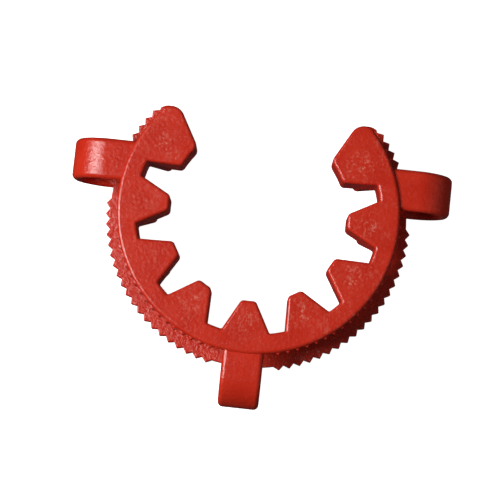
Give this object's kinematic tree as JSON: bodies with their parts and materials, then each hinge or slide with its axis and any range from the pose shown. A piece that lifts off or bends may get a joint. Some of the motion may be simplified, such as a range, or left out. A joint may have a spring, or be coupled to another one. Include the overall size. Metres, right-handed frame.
{
  "type": "ground-glass joint clip",
  "caption": "Springy C-shaped clip with toothed front and back rings tied by bowed bridges, holding a conical ground-glass joint together.",
  "frame": {"origin": "on the ring axis, in the plane of the back ring's resting face", "axes": "+Z along the ring axis from the back ring to the front ring, +Y out of the clip's mouth, +X across the mouth, along the side bridges"},
  "size_m": [0.0908, 0.0713, 0.019],
  "materials": {
    "red_moulding": "satin"
  },
  "bodies": {
    "back_crown": {"back_crown_segment": "red_moulding", "bottom_bridge_back_half": "red_moulding"},
    "front_crown": {"front_crown_segment": "red_moulding", "bottom_bridge_front_half": "red_moulding"},
    "back_left_inner": {"back_left_inner_segment": "red_moulding"},
    "back_left_outer": {"back_left_outer_segment": "red_moulding"},
    "back_left_end": {"back_left_end_segment": "red_moulding", "left_bridge_back_half": "red_moulding"},
    "front_left_inner": {"front_left_inner_segment": "red_moulding"},
    "front_left_outer": {"front_left_outer_segment": "red_moulding"},
    "front_left_end": {"front_left_end_segment": "red_moulding", "left_bridge_front_half": "red_moulding"},
    "back_right_inner": {"back_right_inner_segment": "red_moulding"},
    "back_right_outer": {"back_right_outer_segment": "red_moulding"},
    "back_right_end": {"back_right_end_segment": "red_moulding", "right_bridge_back_half": "red_moulding"},
    "front_right_inner": {"front_right_inner_segment": "red_moulding"},
    "front_right_outer": {"front_right_outer_segment": "red_moulding"},
    "front_right_end": {"front_right_end_segment": "red_moulding", "right_bridge_front_half": "red_moulding"}
  },
  "joints": [
    {"name": "ring_spread", "type": "slide", "parent": "back_crown", "child": "front_crown", "axis": [0, 0, 1], "range_m": [0, 0.0012], "stiffness_N_per_m": 8000},
    {"name": "back_left_inner_flex", "type": "hinge", "parent": "back_crown", "child": "back_left_inner", "pos_m": [-0.00805, -0.03004, 0.002], "axis": [0, 0, 1], "range_deg": [0, 4], "stiffness_Nm_per_rad": 13.3},
    {"name": "back_left_outer_flex", "type": "hinge", "parent": "back_left_inner", "child": "back_left_outer", "pos_m": [-0.02199, -0.02199, 0.002], "axis": [0, 0, 1], "range_deg": [0, 3.3]},
    {"name": "back_left_end_flex", "type": "hinge", "parent": "back_left_outer", "child": "back_left_end", "pos_m": [-0.03004, -0.00805, 0.002], "axis": [0, 0, 1], "range_deg": [0, 2]},
    {"name": "front_left_inner_flex", "type": "hinge", "parent": "front_crown", "child": "front_left_inner", "pos_m": [-0.00805, -0.03004, 0.014], "axis": [0, 0, 1], "range_deg": [0, 4]},
    {"name": "front_left_outer_flex", "type": "hinge", "parent": "front_left_inner", "child": "front_left_outer", "pos_m": [-0.02199, -0.02199, 0.014], "axis": [0, 0, 1], "range_deg": [0, 3.3]},
    {"name": "front_left_end_flex", "type": "hinge", "parent": "front_left_outer", "child": "front_left_end", "pos_m": [-0.03004, -0.00805, 0.014], "axis": [0, 0, 1], "range_deg": [0, 2]},
    {"name": "back_right_inner_flex", "type": "hinge", "parent": "back_crown", "child": "back_right_inner", "pos_m": [0.00805, -0.03004, 0.002], "axis": [0, 0, -1], "range_deg": [0, 4], "stiffness_Nm_per_rad": 13.3},
    {"name": "back_right_outer_flex", "type": "hinge", "parent": "back_right_inner", "child": "back_right_outer", "pos_m": [0.02199, -0.02199, 0.002], "axis": [0, 0, -1], "range_deg": [0, 3.3]},
    {"name": "back_right_end_flex", "type": "hinge", "parent": "back_right_outer", "child": "back_right_end", "pos_m": [0.03004, -0.00805, 0.002], "axis": [0, 0, -1], "range_deg": [0, 2]},
    {"name": "front_right_inner_flex", "type": "hinge", "parent": "front_crown", "child": "front_right_inner", "pos_m": [0.00805, -0.03004, 0.014], "axis": [0, 0, -1], "range_deg": [0, 4]},
    {"name": "front_right_outer_flex", "type": "hinge", "parent": "front_right_inner", "child": "front_right_outer", "pos_m": [0.02199, -0.02199, 0.014], "axis": [0, 0, -1], "range_deg": [0, 3.3]},
    {"name": "front_right_end_flex", "type": "hinge", "parent": "front_right_outer", "child": "front_right_end", "pos_m": [0.03004, -0.00805, 0.014], "axis": [0, 0, -1], "range_deg": [0, 2]}
  ],
  "couplings": [
    {"joint": "back_left_outer_flex", "follows": "back_left_inner_flex", "ratio": 0.815},
    {"joint": "back_left_end_flex", "follows": "back_left_inner_flex", "ratio": 0.492},
    {"joint": "front_left_inner_flex", "follows": "back_left_inner_flex", "ratio": 1},
    {"joint": "front_left_outer_flex", "follows": "back_left_inner_flex", "ratio": 0.815},
    {"joint": "front_left_end_flex", "follows": "back_left_inner_flex", "ratio": 0.492},
    {"joint": "back_right_outer_flex", "follows": "back_right_inner_flex", "ratio": 0.815},
    {"joint": "back_right_end_flex", "follows": "back_right_inner_flex", "ratio": 0.492},
    {"joint": "front_right_inner_flex", "follows": "back_right_inner_flex", "ratio": 1},
    {"joint": "front_right_outer_flex", "follows": "back_right_inner_flex", "ratio": 0.815},
    {"joint": "front_right_end_flex", "follows": "back_right_inner_flex", "ratio": 0.492}
  ]
}
